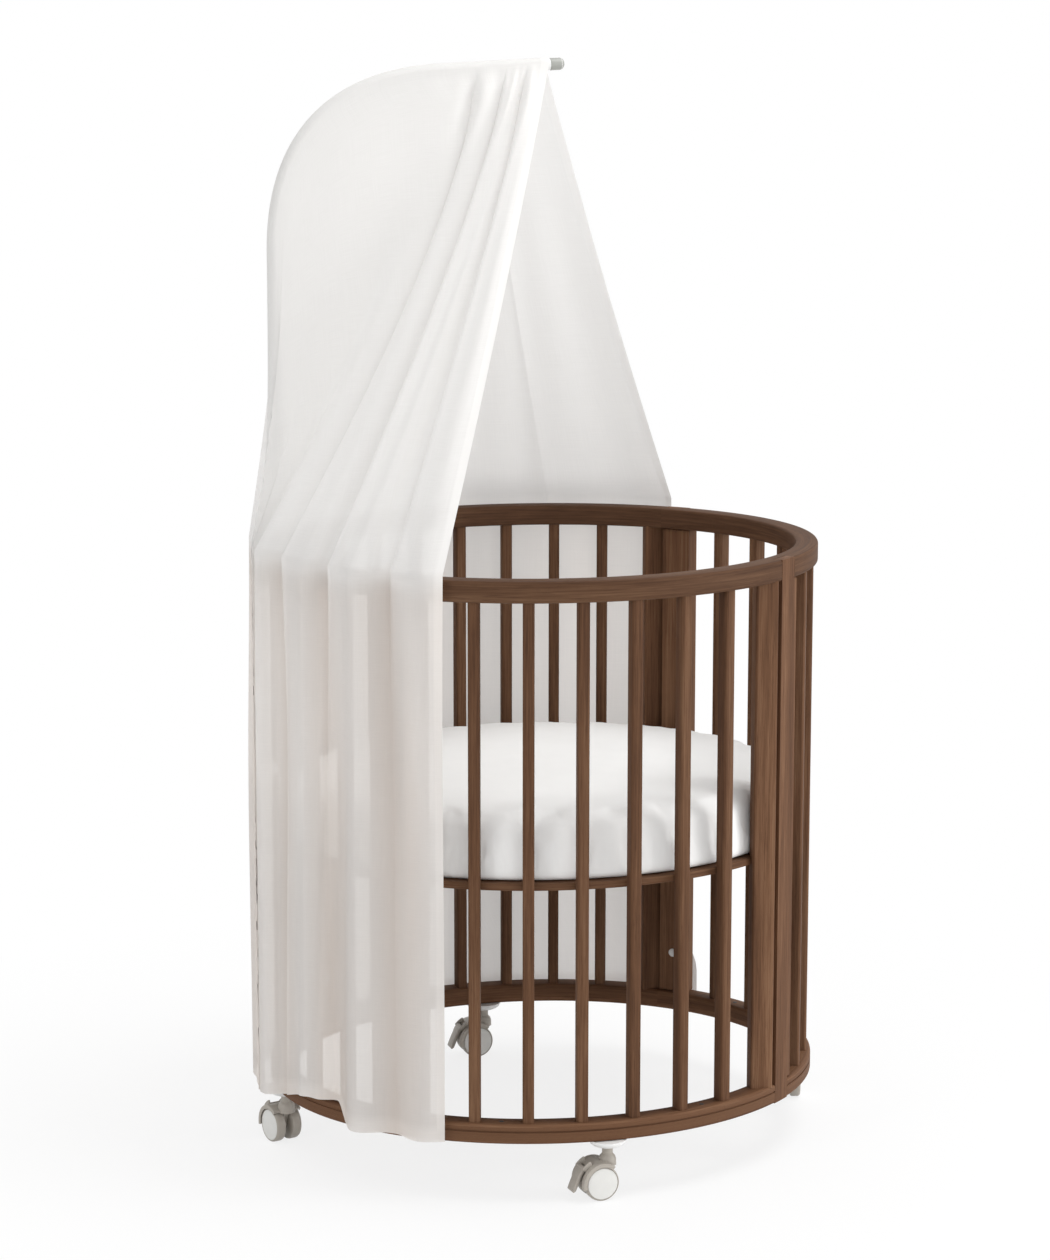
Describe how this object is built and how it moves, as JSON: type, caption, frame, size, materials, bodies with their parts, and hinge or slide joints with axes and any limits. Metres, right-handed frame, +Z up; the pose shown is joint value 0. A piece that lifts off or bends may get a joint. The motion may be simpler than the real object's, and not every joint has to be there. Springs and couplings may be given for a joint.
{
  "type": "baby crib",
  "caption": "Oval slatted baby crib in walnut-brown wood on casters with brake levers, with a sheeted mattress on a height-adjustable base and a sheer canopy draped from a bent rod.",
  "frame": {"origin": "on the floor, under the middle of the whole crib's bounding box", "axes": "+Z up, +X along the crib's length away from the canopy rod, +Y towards the back panel"},
  "size_m": [0.8425, 0.7451, 1.5576],
  "materials": {
    "walnut": "satin",
    "white_plastic": "satin",
    "caster_plastic": "satin",
    "caster_wheel": "satin",
    "mattress_sheet": "matte",
    "canopy_cloth": "matte",
    "rod_paint": "satin"
  },
  "bodies": {
    "frame": {"right_top_rail": "walnut", "right_bottom_rail": "walnut", "right_slat_1": "walnut", "right_slat_2": "walnut", "right_slat_3": "walnut", "right_slat_4": "walnut", "right_slat_5": "walnut", "right_slat_6": "walnut", "right_post_1": "walnut", "right_post_2": "walnut", "back_top_rail": "walnut", "back_bottom_rail": "walnut", "back_slat_1": "walnut", "back_slat_2": "walnut", "back_slat_3": "walnut", "back_slat_4": "walnut", "back_slat_5": "walnut", "back_slat_6": "walnut", "back_board_1": "walnut", "back_board_2": "walnut", "left_top_rail": "walnut", "left_bottom_rail": "walnut", "left_slat_1": "walnut", "left_slat_2": "walnut", "left_slat_3": "walnut", "left_slat_4": "walnut", "left_slat_5": "walnut", "left_slat_6": "walnut", "left_post_1": "walnut", "left_post_2": "walnut", "front_top_rail": "walnut", "front_bottom_rail": "walnut", "front_slat_1": "walnut", "front_slat_2": "walnut", "front_slat_3": "walnut", "front_slat_4": "walnut", "front_slat_5": "walnut", "front_slat_6": "walnut", "front_board_1": "walnut", "front_board_2": "walnut", "right_caster_cup": "white_plastic", "back_caster_cup": "white_plastic", "left_caster_cup": "white_plastic", "front_caster_cup": "white_plastic"},
    "right_swivel": {"right_caster_hood": "caster_plastic"},
    "right_wheels": {"right_caster_wheels": "caster_wheel"},
    "right_brake": {"right_brake_lever": "caster_plastic"},
    "back_swivel": {"back_caster_hood": "caster_plastic"},
    "back_wheels": {"back_caster_wheels": "caster_wheel"},
    "back_brake": {"back_brake_lever": "caster_plastic"},
    "left_swivel": {"left_caster_hood": "caster_plastic"},
    "left_wheels": {"left_caster_wheels": "caster_wheel"},
    "left_brake": {"left_brake_lever": "caster_plastic"},
    "front_swivel": {"front_caster_hood": "caster_plastic"},
    "front_wheels": {"front_caster_wheels": "caster_wheel"},
    "front_brake": {"front_brake_lever": "caster_plastic"},
    "base": {"mattress_base": "walnut"},
    "mattress": {"mattress": "mattress_sheet"},
    "canopy": {"canopy_rod": "rod_paint", "canopy": "canopy_cloth"}
  },
  "joints": [
    {"name": "right_caster_swivel", "type": "hinge", "parent": "frame", "child": "right_swivel", "pos_m": [0.38999, -0.00413, 0.05], "axis": [0, 0, 1], "continuous": true},
    {"name": "right_wheel_spin", "type": "hinge", "parent": "right_swivel", "child": "right_wheels", "pos_m": [0.39387, 0.01036, 0.025], "axis": [-0.9659, 0.2588, 0], "continuous": true},
    {"name": "right_brake_press", "type": "hinge", "parent": "right_swivel", "child": "right_brake", "pos_m": [0.40006, 0.03347, 0.04655], "axis": [-0.9659, 0.2588, 0], "range_deg": [0, 11]},
    {"name": "back_caster_swivel", "type": "hinge", "parent": "frame", "child": "back_swivel", "pos_m": [0.00599, 0.33587, 0.05], "axis": [0, 0, 1], "continuous": true},
    {"name": "back_wheel_spin", "type": "hinge", "parent": "back_swivel", "child": "back_wheels", "pos_m": [-0.00899, 0.33508, 0.025], "axis": [0.0523, -0.9986, 0], "continuous": true},
    {"name": "back_brake_press", "type": "hinge", "parent": "back_swivel", "child": "back_brake", "pos_m": [-0.03289, 0.33383, 0.04655], "axis": [0.0523, -0.9986, 0], "range_deg": [0, 11]},
    {"name": "left_caster_swivel", "type": "hinge", "parent": "frame", "child": "left_swivel", "pos_m": [-0.37801, -0.00413, 0.05], "axis": [0, 0, 1], "continuous": true},
    {"name": "left_wheel_spin", "type": "hinge", "parent": "left_swivel", "child": "left_wheels", "pos_m": [-0.38265, 0.01013, 0.025], "axis": [-0.9511, -0.309, 0], "continuous": true},
    {"name": "left_brake_press", "type": "hinge", "parent": "left_swivel", "child": "left_brake", "pos_m": [-0.39004, 0.03289, 0.04655], "axis": [-0.9511, -0.309, 0], "range_deg": [0, 11]},
    {"name": "front_caster_swivel", "type": "hinge", "parent": "frame", "child": "front_swivel", "pos_m": [0.00599, -0.34413, 0.05], "axis": [0, 0, 1], "continuous": true},
    {"name": "front_wheel_spin", "type": "hinge", "parent": "front_swivel", "child": "front_wheels", "pos_m": [-0.0089, -0.34596, 0.025], "axis": [0.1219, -0.9925, 0], "continuous": true},
    {"name": "front_brake_press", "type": "hinge", "parent": "front_swivel", "child": "front_brake", "pos_m": [-0.03265, -0.34887, 0.04655], "axis": [0.1219, -0.9925, 0], "range_deg": [0, 11]},
    {"name": "base_height", "type": "slide", "parent": "frame", "child": "base", "axis": [0, 0, 1], "range_m": [-0.32, 0]},
    {"name": "mattress_lift", "type": "slide", "parent": "base", "child": "mattress", "axis": [0, 0, 1], "range_m": [0, 0.3]},
    {"name": "canopy_lift", "type": "slide", "parent": "frame", "child": "canopy", "axis": [0, 0, 1], "range_m": [0, 0.1]}
  ]
}
